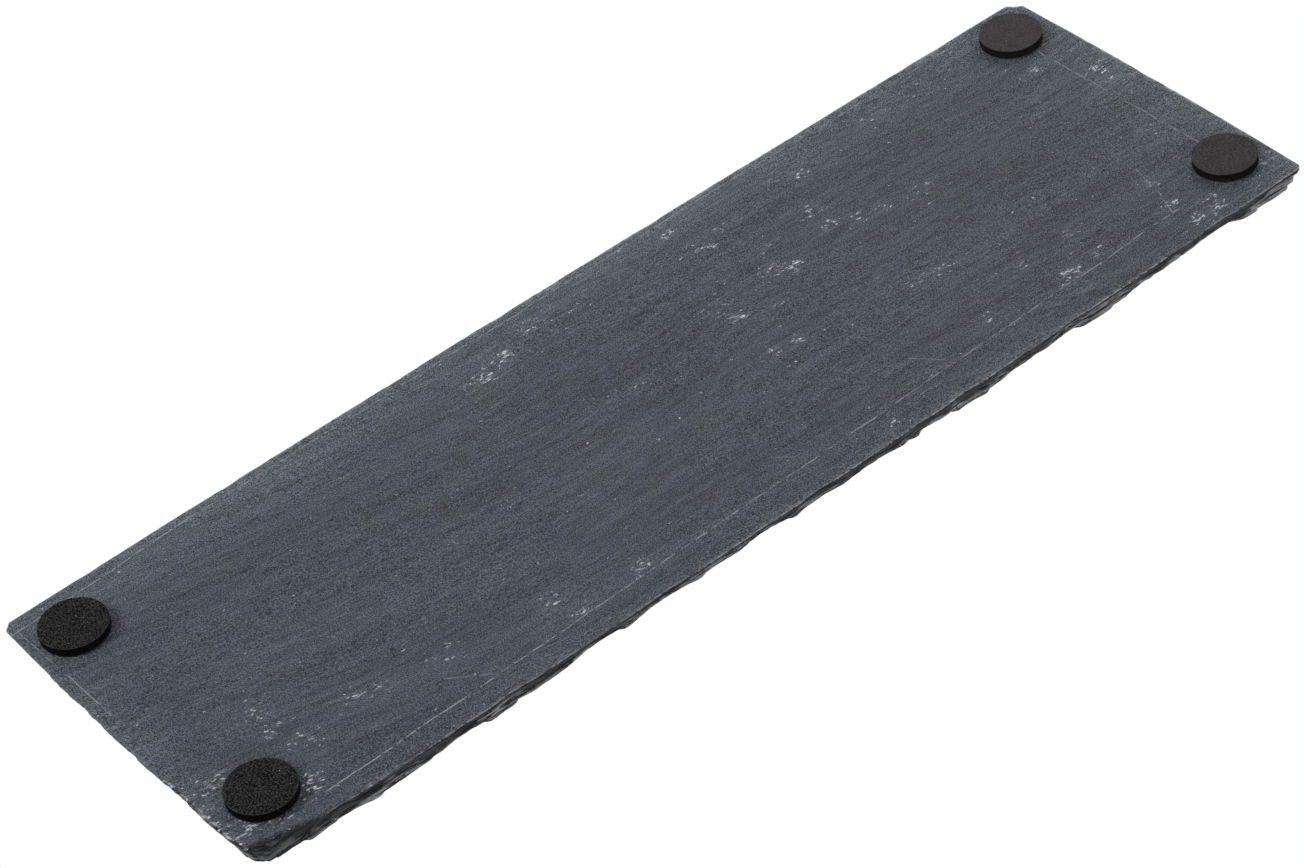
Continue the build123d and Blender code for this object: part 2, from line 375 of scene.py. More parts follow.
def bruise_flecks(desk, turned):
    """Strength of the pale flecks: thin broken dashes and dots, crowded where the stone is bruised."""
    bruised = desk.stored("bruise")
    dashes = desk.stretched(turned, (0.55, 1.70, 1.70), detail=1.0, roughness=0.4, seed=6.0)
    dashes = desk.ramp(desk.off_middle(dashes), 0.024, 0.062, 1.0, 0.0)
    gaps = desk.stretched(turned, (0.6, 1.0, 1.0), detail=3.0, roughness=0.6, seed=16.0)
    level = desk.fused(bruised, -0.21, 0.670)
    dashes = desk.product(dashes, desk.ramp(desk.math("SUBTRACT", gaps, level), 0.0, 0.05))
    dots = desk.cells(desk.vector("MULTIPLY", turned, (0.65, 1.00, 1.00)), 1.0)
    dots = desk.product(desk.ramp(dots, 0.12, 0.22, 1.0, 0.0), desk.ramp(bruised, 0.45, 0.95))
    haze = desk.product(desk.ramp(gaps, 0.42, 0.58), bruised, 0.10)
    return desk.math("MAXIMUM", desk.math("MAXIMUM", dashes, dots), haze)


def broken_edge(desk, place, glint):
    """Colour of the broken edge and its layering: painted shade next to the foot side, grey laminae, painted
    highlights on the arrises.
    """
    reach = desk.stored("reach")
    layers_seed = desk.product(reach, 0.9)
    layers = desk.stretched(place, (0.12, 0.12, 1.1), detail=2.0, roughness=0.55, seed=layers_seed)
    grey = desk.blend(desk.ramp(layers, 0.44, 0.58), EDGE_DARK, EDGE_GREY)
    # painted highlights: thin pale lines along the laminae and on the lower arris of each lamina, where the
    # edges catch light; patchy by the glint noise and fewer where the foot side is broken away
    lines_seed = desk.fused(reach, 0.6, 15.0)
    lines = desk.stretched(place, (0.07, 0.07, 0.8), detail=2.0, seed=lines_seed)
    lines = desk.ramp(desk.off_middle(lines), 0.0, 0.045, 1.0, 0.0)
    arris = desk.ramp(desk.stored("arris"), 0.55, 1.0, 0.0, 0.5)
    bared = desk.ramp(desk.stored("spall"), 0.0, 1.0, 0.8, 0.2)
    arris_highlights = desk.product(desk.math("MAXIMUM", lines, arris), desk.ramp(glint, 0.42, 0.56), bared)
    grey = desk.blend(arris_highlights, grey, EDGE_HIGHLIGHT)
    rise = desk.math("SUBTRACT", desk.parts(place)[2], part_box("slate_slab")[0].z / MM)
    # painted shade: in a wavering band 0.5 to 4 millimetres high next to the foot side, the broken edge is
    # darkened to a fifth, standing in for the shadow of the undercut laminae
    wander = desk.stretched(place, (0.07, 0.07, 0.0), detail=3.0, seed=17.0)
    shade_band_top = desk.ramp(wander, 0.36, 0.64, 0.5, 4.0)
    seam = desk.ramp(desk.math("SUBTRACT", rise, shade_band_top), -0.5, 0.5, 0.20, 1.0)
    scooped = desk.ramp(desk.stored("foot_side"), 0.0, 1.0, 1.0, 0.32)
    return desk.scaled(grey, desk.product(seam, scooped)), layers


def outline_bruise_and_highlight(desk, place, glint, surface):
    """The surface with a pale line along its outline, bruised stone with a painted highlight on the arris,
    and pale chips and painted shade in the notches where the left end is torn.
    """
    x = desk.parts(place)[0]
    patchy = desk.ramp(desk.noise(place, scale=0.11, detail=2.0, seed=18.0), 0.38, 0.60, 0.25, 1.0)
    along = desk.ramp(x, *RIM_GROWS, 0.6, 1.0)
    off_end = desk.ramp(x, *RIM_STARTS, 0.25, 1.0)
    # the pale line along the outline is bruised stone with a painted highlight on the arris, patchy, and
    # stronger towards the right end than at the left end
    rim = desk.product(desk.stored("rim"), patchy, along, off_end, desk.ramp(glint, 0.42, 0.54), 0.9)
    surface = desk.blend(rim, surface, RIM_BRUISE_AND_HIGHLIGHT)
    torn = desk.stored("torn")
    chips = desk.noise(place, scale=0.6, detail=3.0, roughness=0.6, seed=20.0)
    pale = desk.product(desk.ramp(chips, 0.40, 0.46, 1.0, 0.0), desk.ramp(torn, 0.05, 0.30))
    surface = desk.blend(pale, surface, CHIP_PALE)
    # painted shade: near-black marks among the torn chips stand in for the shadow in their notches
    notch_shadow = desk.product(desk.ramp(chips, 0.49, 0.54), desk.ramp(torn, 0.20, 0.45))
    return desk.blend(notch_shadow, surface, NOTCH_SHADE)


def slate_finish():
    """Blue-grey riven slate, with pale flecks and scratches on the foot side and dark broken edges; painted
    shade and highlights on the edges, and painted sheen towards them.
    """
    material, desk, shader, place = new_material("riven_slate")
    sway = desk.noise(place, scale=0.011, detail=1.0, seed=1.0)
    sway = desk.fused(sway, GRAIN_SWAY, -0.5 * GRAIN_SWAY)
    bend = desk.math("MAXIMUM", desk.math("SUBTRACT", GRAIN_STRAIGHT_FROM, desk.parts(place)[0]), 0.0)
    bend = desk.product(bend, bend, GRAIN_BEND)
    grained = desk.vector("ADD", place, desk.joined(0.0, desk.added(sway, bend), 0.0))
    turned = desk.add("ShaderNodeVectorRotate", {"Vector": grained, "Angle": math.radians(GRAIN_TURN)},
                      rotation_type="Z_AXIS").outputs[0]
    face, tone = slate_face(desk, turned)
    flecks = bruise_flecks(desk, turned)
    face = desk.blend(desk.product(flecks, 0.95), face, FLECK_PALE)
    marks = desk.product(scribed_marks(desk, place), desk.stored("foot_side"))
    face = desk.blend(marks, face, SCRATCH_PALE)

    glint = desk.noise(place, scale=0.9, detail=4.0, roughness=0.7, seed=8.0)
    broken, layers = broken_edge(desk, place, glint)
    scar = desk.stored("scar")
    surface = outline_bruise_and_highlight(desk, place, glint, desk.blend(scar, face, broken))
    desk.feed(shader.inputs["Base Color"], surface)
    desk.feed(shader.inputs["Roughness"], desk.ramp(tone, 0.6, 1.4, 0.88, 0.72))
    shader.inputs["Specular IOR Level"].default_value = 0.21
    height = desk.added(desk.product(tone, 0.25), desk.product(flecks, -0.12), desk.product(scar, layers))
    desk.bump(shader, height, 0.55, SLATE_BUMP)
    return material


def foam_finish():
    """Matt black closed-cell foam: fine cut cells, a painted highlight on the rim, painted shade on the wall,
    paler browner foam on some feet and a little dust.
    """
    material, desk, shader, place = new_material("black_foam")
    cells = desk.noise(place, scale=2.5, detail=1.0, seed=10.0)
    coarse = desk.noise(place, scale=1.1, detail=3.0, roughness=0.6, seed=11.0)
    wear = desk.noise(place, scale=0.25, detail=3.0, seed=12.0)
    tone = desk.added(desk.product(cells, 0.75), desk.product(coarse, 0.25))
    skin = desk.blend(desk.ramp(tone, 0.44, 0.59), FOAM_PIT, FOAM_SKIN)
    # the right-hand feet are paler and browner, by their share
    lighter = desk.blend(desk.ramp(tone, 0.30, 0.70), PALER_PIT, PALER_SKIN)
    skin = desk.blend(desk.stored("paler_share"), skin, lighter)
    skin = desk.blend(desk.ramp(wear, 0.45, 0.75, 0.0, 0.25), skin, FOAM_RUBBED)
    # painted highlight: the rounded rim of each pad is paler, where its curve catches light
    skin = desk.blend(desk.product(desk.stored("rim"), 0.40), skin, FOAM_RIM_HIGHLIGHT)
    dust = desk.ramp(desk.cells(place, 0.62), 0.050, 0.075, 1.0, 0.0)
    chance = desk.ramp(desk.noise(place, scale=0.8, seed=13.0), 0.50, 0.56)
    skin = desk.blend(desk.product(dust, chance), skin, DUST_GREY)
    wall = desk.stored("wall")
    # painted shade: the wall of each pad is darkened to about a fifth of the colour of its faces; the rest is
    # wear
    wear_and_shade = desk.product(desk.ramp(wear, 0.38, 0.62, 0.88, 1.12), desk.ramp(wall, 0.0, 1.0, 1.0, 0.22))
    desk.feed(shader.inputs["Base Color"], desk.scaled(skin, wear_and_shade))
    desk.feed(shader.inputs["Roughness"], desk.ramp(tone, 0.3, 0.7, 0.97, 0.82))
    desk.feed(shader.inputs["Specular IOR Level"], desk.ramp(wall, 0.0, 1.0, 0.07, 0.035))
    desk.bump(shader, tone, 0.6, FOAM_BUMP)
    return material


def film_finish():
    """Thin grey adhesive film, smoky and slightly streaked, with a little dirt."""
    material, desk, shader, place = new_material("adhesive_film")
    streaks = desk.stretched(place, (0.6, 2.2, 6.0), detail=4.0, seed=21.0)
    dirt = desk.noise(place, scale=2.4, detail=3.0, roughness=0.7, seed=22.0)
    film = desk.blend(desk.ramp(streaks, 0.35, 0.65), FILM_SMOKE, FILM_CLEAR)
    film = desk.blend(desk.ramp(dirt, 0.50, 0.70, 0.0, 0.7), film, FILM_DIRT)
    desk.feed(shader.inputs["Base Color"], film)
    desk.feed(shader.inputs["Roughness"], desk.ramp(dirt, 0.3, 0.7, 0.35, 0.65))
    desk.bump(shader, streaks, 0.3, FILM_BUMP)
    return material


def new_tree(name, inputs):
    """An empty Geometry Nodes tree with named inputs: its desk, its input sockets and identifiers."""
    tree = bpy.data.node_groups.new(name, "GeometryNodeTree")
    tree.interface.new_socket("Geometry", in_out="OUTPUT", socket_type="NodeSocketGeometry")
    identifiers = {}
    for label, kind in inputs.items():
        socket = tree.interface.new_socket(label, in_out="INPUT", socket_type="NodeSocket" + kind)
        identifiers[label] = socket.identifier
    desk = Desk(tree)
    return desk, desk.add("NodeGroupInput").outputs, identifiers


def end_tree(desk, geometry, material):
    """Realize Instances, Set Material and the tree's output."""
    real = desk.add("GeometryNodeRealizeInstances", {"Geometry": geometry}).outputs[0]
    done = desk.add("GeometryNodeSetMaterial", {"Geometry": real, "Material": material}).outputs[0]
    desk.add("NodeGroupOutput", {0: done})


def named(desk, name, kind="FLOAT"):
    """A number or vector stored on the mesh, read in a Geometry Nodes tree."""
    return desk.add("GeometryNodeInputNamedAttribute", {"Name": name}, data_type=kind).outputs[0]


def run_tree(name, mesh, tree, identifiers, values):
    """A plain mesh object of that name, made by the tree from the mesh and the input values."""
    source = bpy.data.objects.new(name + "_source", mesh)
    bpy.context.scene.collection.objects.link(source)
    modifier = source.modifiers.new("tree", "NODES")
    modifier.node_group = tree
    for label, value in values.items():
        modifier[identifiers[label]] = value
    evaluated = source.evaluated_get(bpy.context.evaluated_depsgraph_get())
    made = bpy.data.meshes.new_from_object(evaluated)
    source.modifiers.clear()
    bpy.data.objects.remove(source)
    made.name = name
    piece = bpy.data.objects.new(name, made)
    bpy.context.scene.collection.objects.link(piece)
    return piece


def riven_relief_tree():
    """Moves each lamina of the broken edge by its own wavering line and gives the faces their riven swell."""
    inputs = {
        "Geometry": "Geometry", "Lamina Waver": "Float", "Lamina Sway": "Float", "Splinter Waver": "Float",
        "Undercut": "Float", "Face Relief": "Float", "Seed": "Float", "Slate": "Material",
    }
    desk, given, identifiers = new_tree("riven_relief", inputs)
    seed = given["Seed"]
    spot = desk.scaled(desk.add("GeometryNodeInputPosition").outputs[0], 1 / MM)
    x, y, _ = desk.parts(spot)
    level = named(desk, "level")

    leaf = desk.joined(x, y, desk.product(level, LEAF_STEP))
    waver = desk.noise(leaf, scale=0.075, detail=2.0, seed=seed)
    waver = desk.product(desk.ramp(waver, 0.30, 0.75, -0.45, 0.55), given["Lamina Waver"])
    splinter = desk.noise(leaf, scale=0.32, detail=3.0, roughness=0.65, seed=seed)
    splinter = desk.product(desk.ramp(splinter, 0.35, 0.75, -0.4, 0.6), given["Splinter Waver"])
    above_first = desk.product(desk.math("MINIMUM", level, 1.0), desk.ramp(level, 1.0, 3.0, 1.0, 0.0))
    under = desk.product(above_first, given["Undercut"])
    push = desk.product(desk.added(waver, splinter, under), named(desk, "loose"))
    seam = desk.joined(x, y, desk.product(named(desk, "bound"), LEAF_STEP))
    sway = desk.total((desk.noise(seam, scale=0.05, detail=2.0, seed=seed), 4.0))
    sway = desk.product(sway, given["Lamina Sway"], named(desk, "seam"))
    edge_move = desk.scaled(named(desk, "inward", "FLOAT_VECTOR"), push)

    swell = desk.noise(spot, scale=0.03, detail=2.0, seed=seed)
    ribs = desk.stretched(spot, (0.06, 0.32, 0.32), detail=3.0, seed=seed)
    steps = desk.ramp(desk.stretched(spot, (0.02, 0.05, 0.05), detail=3.0, seed=seed), 0.49, 0.505)
    depth = desk.added(desk.product(swell, 0.3), desk.product(ribs, 0.5), desk.product(steps, 0.2))
    sunk = desk.product(depth, given["Face Relief"], named(desk, "calm"), named(desk, "side"), -1.0)

    offset = desk.vector("ADD", edge_move, desk.joined(0.0, 0.0, desk.added(sway, sunk)))
    moved = desk.add("GeometryNodeSetPosition", {"Geometry": given["Geometry"], "Offset": offset}).outputs[0]
    whole = desk.math("LESS_THAN", named(desk, "scar"), 0.5)
    smooth = desk.add("GeometryNodeSetShadeSmooth", {"Geometry": moved, "Shade Smooth": whole}).outputs[0]
    end_tree(desk, smooth, given["Slate"])
    return desk.tree, identifiers


def solid_feeler(node):
    """Feels a CAD solid along a vertical line: the heights of its lowest and highest hit, or None."""
    mesh = node.data
    corners = [vertex.co.copy() for vertex in mesh.vertices]
    tree = BVHTree.FromPolygons(corners, [tuple(face.vertices) for face in mesh.polygons])
    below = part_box(node.name)[0].z - OUTSIDE
    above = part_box(node.name)[1].z + OUTSIDE

    def feel(point):
        low = tree.ray_cast(Vector((point[0], point[1], below)), Vector((0, 0, 1)))[0]
        if low is None:
            return None
        high = tree.ray_cast(Vector((point[0], point[1], above)), Vector((0, 0, -1)))[0]
        return low.z, high.z

    return feel


def rectangle_loop(half_length, half_width, counts):
    """Points round a rectangle, anticlockwise from the front left corner, counts of them on each side."""
    corners = [(-1, -1), (1, -1), (1, 1), (-1, 1), (-1, -1)]
    points = []
    for start, finish, count in zip(corners, corners[1:], counts):
        shares = np.arange(count)[:, None] / count
        points.append(np.array(start) * (1 - shares) + np.array(finish) * shares)
    return np.concatenate(points) * (half_length, half_width)


def find_outline(feel, outer, inner):
    """The last point that meets the solid on each line from the inner loop to the outer one."""
    found = []
    for far, near in zip(outer, inner):
        miss, hit = far, near
        for _ in range(FEEL_STEPS):
            middle = (miss + hit) / 2
            if feel(middle) is None:
                miss = middle
            else:
                hit = middle
        found.append(hit)
    return np.array(found)


def near_feet(points):
    """0 on the seats of the feet, rising to 1 clear of them."""
    clear = np.ones(len(points))
    for foot in FEET:
        low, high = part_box("foot_pad_" + foot)
        middle = ((low + high) / 2).xy
        radius = (high.x - low.x) / 2
        away = np.hypot(points[:, 0] - middle.x, points[:, 1] - middle.y) - radius
        clear = np.minimum(clear, np.clip(away / SEAT_CLEAR, 0.0, 1.0))
    return clear


def margin_and_sheen_strength(points):
    """By what share the foot side is paler at points of it than in its middle: partly a tint of the stone,
    partly painted sheen.
    """
    low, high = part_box("slate_slab")
    distances = {
        "front": points[:, 1] - low.y, "right": high.x - points[:, 0],
        "back": high.y - points[:, 1], "left": points[:, 0] - low.x,
    }
    total = np.zeros(len(points))
    for side, (share, reach) in MARGINS_AND_SHEEN.items():
        total = np.maximum(total, share * np.exp(-distances[side] / reach))
    return total


def bruise_strength(points):
    """How strongly the stone is bruised at points of the foot side."""
    total = np.zeros(len(points))
    for x, y, reach, strength in BRUISES:
        away = np.hypot(points[:, 0] / MM - x, (points[:, 1] / MM - y) * BRUISE_STRETCH) / reach
        total = np.maximum(total, strength * np.exp(-away**2))
    return total


# Numbers stored at each point of the slab's mesh for its relief and its finish
STORED = (
    "scar",  # 1 where the stone is broken
    "loose",  # share of the raggedness of the broken edge
    "calm",  # share of the riven swell
    "side",  # 1 on the serving side, -1 on the foot side
    "level",  # number of the lamina
    "bound",  # number of the bound between laminae that a row sways with
    "seam",  # 1 where that bound lies inside the edge
    "arris",  # 1 at the lower end of a lamina, falling to 0 at its upper end
    "rim",  # pale line along the outline: bruised stone and a painted highlight on the arris
    "margin",  # share by which the foot side is paler, partly tint and partly painted sheen
    "foot_side",  # 1 on the foot side
    "bruise",  # strength of the pale flaking
    "torn",  # torn stretch of the left end
    "reach",  # distance in from the outline, in millimetres
    "spall",  # 1 where the foot side is broken away, also on the edge above
)


class FeltEdge:
    """The strip along the slab's outline, felt from the CAD solid in columns that run in from the outline."""

    def __init__(self, low, high):
        feel = solid_feeler(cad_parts["slate_slab"])
        half_length = (high.x - low.x) / 2
        half_width = (high.y - low.y) / 2
        long_count = round(2 * half_length / COLUMN_PITCH)
        short_count = round(2 * half_width / COLUMN_PITCH)
        counts = (long_count, short_count, long_count, short_count)
        outer = rectangle_loop(half_length + OUTSIDE, half_width + OUTSIDE, counts)
        self.inner = rectangle_loop(half_length - BAND, half_width - BAND, counts)
        self.outline = find_outline(feel, outer, self.inner)
        self.width = np.linalg.norm(self.inner - self.outline, axis=1)
        self.inward = (self.inner - self.outline) / self.width[:, None]
        self.foot_share = np.linspace(0.0, 1.0, FOOT_ROWS + 1) ** ROW_CROWDING
        self.foot_height, self.ledges = self.feel_across(feel, high.z)
        self.broken = np.clip((self.foot_height - low.z) / SPALL_RISE, 0.0, 1.0)
        torn = np.clip((self.outline[:, 1] - TORN_FROM) / TORN_EASE, 0.0, 1.0)
        self.torn = torn * (self.outline[:, 0] < low.x + LEFT_END)
        self.foot_loose = self.by_side(FOOT_LOOSE) + TORN_LOOSE * self.torn

    def feel_across(self, feel, top):
        """Heights of the foot side across the strip, and how far in each lamina of the broken edge stands."""
        samples = np.linspace(0.0, 1.0, BAND_SAMPLES + 1)
        foot_height = []
        ledges = []
        for spot, direction, reach in zip(self.outline, self.inward, self.width):
            felt = np.array([feel(point) for point in spot + np.outer(samples * reach, direction)])
            foot_height.append(np.interp(self.foot_share, samples, felt[:, 0]))
            middles = felt[0, 0] + (top - felt[0, 0]) * (np.arange(LAMINAE) + 0.5) / LAMINAE
            ledges.append(np.interp(middles, np.maximum.accumulate(felt[:, 1]), samples * reach))
        ledges = np.array(ledges)
        for _ in range(LEDGE_PASSES):
            ledges = 0.5 * ledges + 0.25 * (np.roll(ledges, 1, axis=0) + np.roll(ledges, -1, axis=0))
        return np.array(foot_height), ledges - ledges[:, :1]

    def by_side(self, values):
        """The value of the side that each column belongs to."""
        x, y = self.inward.T
        sides = {"front": y > FACING, "right": x < -FACING, "back": y < -FACING, "left": x > FACING}
        return np.select(list(sides.values()), [values[side] for side in sides])

    def spots(self, across):
        """Points that far in from the outline."""
        return self.outline + self.inward * across[:, None]


class SlabPoints:
    """Points of the slab's mesh, gathered ring by ring, with the numbers stored at them."""

    def __init__(self):
        self.places = []
        self.inwards = []
        self.stored = {name: [] for name in STORED}

    def add(self, spots, heights, inward=(0.0, 0.0), **numbers):
        """Points at those spots and heights. A number that isn't given is zero there."""
        zeros = np.zeros(len(spots))
        self.places.append(np.column_stack([spots, zeros + heights]))
        self.inwards.append(np.column_stack([np.broadcast_to(inward, spots.shape), zeros]))
        for name in STORED:
            self.stored[name].append(zeros + numbers.get(name, 0.0))

    def mesh(self, faces):
        """The mesh of all the points with those faces."""
        mesh = bpy.data.meshes.new("slate_slab_felt")
        mesh.from_pydata(np.concatenate(self.places).tolist(), [], faces)
        for name, values in self.stored.items():
            layer = mesh.attributes.new(name, "FLOAT", "POINT")
            layer.data.foreach_set("value", np.concatenate(values).astype(np.float32))
        layer = mesh.attributes.new("inward", "FLOAT_VECTOR", "POINT")
        layer.data.foreach_set("vector", np.concatenate(self.inwards).astype(np.float32).ravel())
        return mesh


def add_foot_side(points, edge):
    """Rings over the foot side, from the inner loop out to the outline."""
    for row in range(FOOT_ROWS, -1, -1):
        across = edge.foot_share[row] * edge.width
        spots = edge.spots(across)
        loose = np.clip(1 - across / LOOSE_REACH, 0.0, 1.0)
        broken = edge.broken[:, row]
        points.add(
            spots, edge.foot_height[:, row], edge.inward, side=-1.0, foot_side=1.0,
            loose=loose * edge.foot_loose, calm=(1 - loose) * near_feet(spots), scar=broken, spall=broken,
            rim=np.exp(-across / RIM_WIDTH) * (1 - broken), torn=edge.torn * np.exp(-across / TORN_WIDTH),
            margin=margin_and_sheen_strength(spots), bruise=bruise_strength(spots), reach=across / MM,
        )


def add_broken_edge(points, edge, top):
    """Rings up the broken edge, where each lamina stands in from the outline by its own ledge."""
    for level in range(LAMINAE):
        ledge = edge.ledges[:, level]
        for share in LAMINA_ROWS:
            rise = (level + share) / LAMINAE
            bound = round(level + share)
            points.add(
                edge.spots(ledge), edge.foot_height[:, 0] * (1 - rise) + top * rise, edge.inward,
                scar=1.0, loose=1.0 if level else edge.foot_loose, level=level, bound=bound,
                seam=float(0 < bound < LAMINAE), arris=1 - share, reach=ledge / MM, spall=edge.broken[:, 0],
            )


def add_serving_side(points, edge, top):
    """Rings over the serving side, from the broken edge in to the inner loop."""
    start = edge.ledges[:, -1] + ARRIS
    for share in np.linspace(0.0, 1.0, SERVING_ROWS + 1) ** ROW_CROWDING:
        across = start + (edge.width - start) * share
        loose = np.clip(1 - (across - start) / LOOSE_REACH, 0.0, 1.0)
        points.add(
            edge.spots(across), top, edge.inward, side=1.0, loose=loose, calm=1 - loose,
            level=LAMINAE - 1.0, bound=LAMINAE,
        )


def fill_loop(inner):
    """Points spread over a broad face inside the inner loop, and triangles of the loop's points and these."""
    grid_x, grid_y = (np.arange(-half + FACE_PITCH / 2, half, FACE_PITCH) for half in inner.max(axis=0))
    grid = np.stack(np.meshgrid(grid_x, grid_y), axis=-1).reshape(-1, 2)
    flat = [Vector(point) for point in np.concatenate([inner, grid])]
    loop = [(i, (i + 1) % len(inner)) for i in range(len(inner))]
    flat, _, triangles, _, _, _ = delaunay_2d_cdt(flat, loop, [], INSIDE_ONLY, WELD)
    return np.array(flat)[len(inner):], triangles


def slab_faces(rings, columns, field_size, triangles):
    """Faces from ring to ring and over both broad faces, whose points follow those of the rings."""
    faces = []
    for base in range(0, (rings - 1) * columns, columns):
        above = base + columns
        for i in range(columns):
            j = (i + 1) % columns
            faces.append((base + i, base + j, above + j, above + i))
    last_ring = (rings - 1) * columns
    serving_field = last_ring + field_size
    for corners in triangles:
        foot = [v if v < columns else v + last_ring for v in corners]
        serving = [v + last_ring if v < columns else v + serving_field for v in corners]
        faces.append(tuple(reversed(foot)))
        faces.append(tuple(serving))
    return faces


def slab_mesh():
    """The slab as one closed mesh, felt from the CAD solid, with what its relief and finish need stored."""
    low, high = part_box("slate_slab")
    edge = FeltEdge(low, high)
    points = SlabPoints()
    add_foot_side(points, edge)
    add_broken_edge(points, edge, high.z)
    add_serving_side(points, edge, high.z)
    rings = len(points.places)
    field, triangles = fill_loop(edge.inner)
    points.add(
        field, low.z, side=-1.0, foot_side=1.0, calm=near_feet(field),
        margin=margin_and_sheen_strength(field), bruise=bruise_strength(field),
    )
    points.add(field, high.z, side=1.0, calm=1.0)
    return points.mesh(slab_faces(rings, len(edge.outline), len(field), triangles))


def pad_shape(desk, given):
    """A pad about its own middle, with soft rims and a drawn-in waist, and what its finish needs to know."""
    rim = given["Rim"]
    radius = desk.product(given["Diameter"], 0.5)
    half = desk.product(given["Thickness"], 0.5)
    blank = desk.add("GeometryNodeMeshCylinder", {
        "Vertices": PAD_SPOKES, "Side Segments": PAD_WALL_ROWS, "Fill Segments": PAD_FACE_RINGS,
        "Radius": radius, "Depth": given["Thickness"]}, fill_type="TRIANGLE_FAN").outputs["Mesh"]

    place = desk.add("GeometryNodeInputPosition").outputs[0]
    x, y, z = desk.parts(place)
    out = desk.length(desk.joined(x, y, 0.0))
    rise = desk.math("ABSOLUTE", z)
    over_side = desk.math("MAXIMUM", desk.math("SUBTRACT", out, desk.math("SUBTRACT", radius, rim)), 0.0)
    over_end = desk.math("MAXIMUM", desk.math("SUBTRACT", rise, desk.math("SUBTRACT", half, rim)), 0.0)
    corner = desk.math("MAXIMUM", desk.length(desk.joined(over_side, over_end, 0.0)), rim)
    pull = desk.math("SUBTRACT", 1.0, desk.math("DIVIDE", rim, corner))
    level = desk.math("DIVIDE", rise, half)
    waist = desk.math("SUBTRACT", 1.0, desk.product(level, level))
    waist = desk.product(waist, given["Waist"], desk.math("GREATER_THAN", over_side, 0.0))
    wobble = desk.noise(desk.scaled(place, 1 / MM), scale=0.22, detail=2.0, seed=given["Seed"])
    wobble = desk.product(wobble, given["Wobble"], desk.math("DIVIDE", out, radius))
    shrink = desk.added(waist, desk.product(pull, over_side), wobble)
    aside = desk.product(desk.math("DIVIDE", shrink, desk.math("MAXIMUM", out, AXIS_GUARD)), -1.0)
    lift = desk.product(pull, over_end, desk.math("SIGN", z), -1.0)
    offset = desk.joined(desk.product(x, aside), desk.product(y, aside), lift)
    shaped = desk.add("GeometryNodeSetPosition", {"Geometry": blank, "Offset": offset}).outputs[0]

    turned_over = desk.math("DIVIDE", desk.math("MINIMUM", over_side, over_end), rim)
    marks = {
        # the rounded rim, which the finish paints with a highlight
        "rim": desk.ramp(turned_over, 0.05, 0.35),
        # 1 on the wall, which the finish darkens as painted shade
        "wall": desk.ramp(level, 0.75, 0.92, 1.0, 0.0),
        "paler_share": given["Fade"],
    }
    return shaped, marks


def foam_pad_tree():
    """A round pad punched from foam: soft rims, a drawn-in waist and shallow cut cells."""
    inputs = {
        "Diameter": "Float", "Thickness": "Float", "Rim": "Float", "Waist": "Float", "Wobble": "Float",
        "Cell Depth": "Float", "Fade": "Float", "Middle": "Vector", "Seed": "Float", "Foam": "Material",
    }
    desk, given, identifiers = new_tree("punched_foam_pad", inputs)
    pad, marks = pad_shape(desk, given)
    for name, value in marks.items():
        pad = desk.add("GeometryNodeStoreNamedAttribute", {
            "Geometry": pad, "Name": name, "Value": value}, data_type="FLOAT", domain="POINT").outputs[0]

    spot = desk.scaled(desk.add("GeometryNodeInputPosition").outputs[0], 1 / MM)
    cells = desk.noise(spot, scale=1.5, detail=2.0, roughness=0.6, seed=given["Seed"])
    dip = desk.product(desk.ramp(cells, 0.35, 0.70, 0.0, -1.0), given["Cell Depth"])
    sunk = desk.scaled(desk.add("GeometryNodeInputNormal").outputs[0], dip)
    pitted = desk.add("GeometryNodeSetPosition", {"Geometry": pad, "Offset": sunk}).outputs[0]
    moved = {"Geometry": pitted, "Translation": given["Middle"]}
    placed = desk.add("GeometryNodeTransform", moved).outputs[0]
    smooth = desk.add("GeometryNodeSetShadeSmooth", {"Geometry": placed}).outputs[0]
    end_tree(desk, smooth, given["Foam"])
    return desk.tree, identifiers


def dress_slab():
    """The riven slab in place of its plain solid."""
    tree, identifiers = riven_relief_tree()
    values = {
        "Lamina Waver": LAMINA_WAVER, "Lamina Sway": LAMINA_SWAY, "Splinter Waver": SPLINTER_WAVER,
        "Undercut": UNDERCUT, "Face Relief": FACE_RELIEF, "Seed": RELIEF_SEED, "Slate": slate_finish(),
    }
    slab = run_tree("riven_slab", slab_mesh(), tree, identifiers, values)
    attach(slab, "root")
    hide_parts("slate_slab")


def dress_feet():
    """A punched foam pad in place of each plain pad, and a finish for the film that holds it."""
    tree, identifiers = foam_pad_tree()
    foam = foam_finish()
    film = film_finish()
    for number, foot in enumerate(FEET):
        low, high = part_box("foot_pad_" + foot)
        values = {
            "Diameter": high.x - low.x + FOOT_SPREAD[foot], "Thickness": high.z - low.z, "Rim": FOOT_RIM,
            "Waist": FOOT_WAIST, "Wobble": FOOT_WOBBLE, "Cell Depth": CELL_DEPTH, "Fade": FOOT_PALER_SHARE[foot],
            "Middle": (low + high) / 2, "Seed": FOOT_SEED + FOOT_SEED_STEP * number, "Foam": foam,
        }
        pad = run_tree("foam_foot_" + foot, bpy.data.meshes.new("blank"), tree, identifiers, values)
        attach(pad, "root")
        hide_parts("foot_pad_" + foot)
        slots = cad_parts["adhesive_" + foot].data.materials
        slots.clear()
        slots.append(film)


